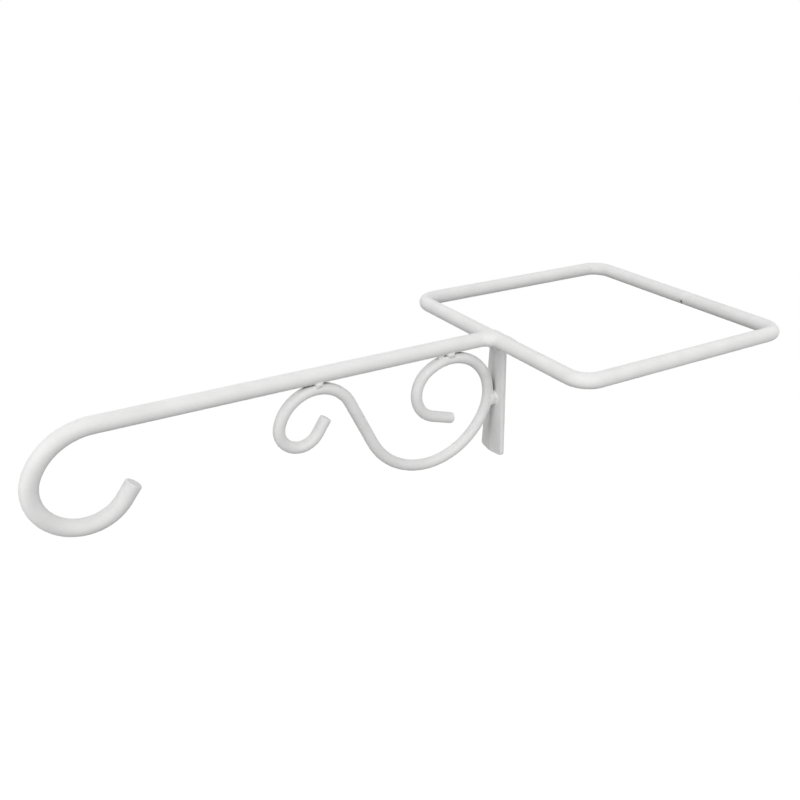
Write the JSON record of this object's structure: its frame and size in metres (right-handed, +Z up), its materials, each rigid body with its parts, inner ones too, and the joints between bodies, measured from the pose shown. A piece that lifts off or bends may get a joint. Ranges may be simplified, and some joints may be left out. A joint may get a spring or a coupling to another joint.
{
  "type": "plant hanger bracket",
  "caption": "Plant hanger bracket that slips over a square post: a rod ring, an arm ending in an open hook, and a scroll brace above a bearing plate.",
  "frame": {"origin": "middle of the square post opening, on the mid-plane of the ring's rod", "axes": "+Z up along the post, -X outwards along the arm towards the hook, Y across the post face"},
  "size_m": [0.3887, 0.151, 0.0737],
  "materials": {
    "powder_coat": "satin white powder coat",
    "weld_coat": "satin white powder coat over weld beads"
  },
  "bodies": {
    "root": {"post_ring": "powder_coat", "arm": "powder_coat", "scroll": "powder_coat", "bearing_plate": "powder_coat", "arm_weld": "weld_coat", "ring_seam_weld": "weld_coat", "plate_weld": "weld_coat", "plate_top_weld": "weld_coat", "front_curl_weld": "weld_coat", "rear_curl_weld": "weld_coat", "scroll_foot_weld": "weld_coat"}
  },
  "joints": []
}
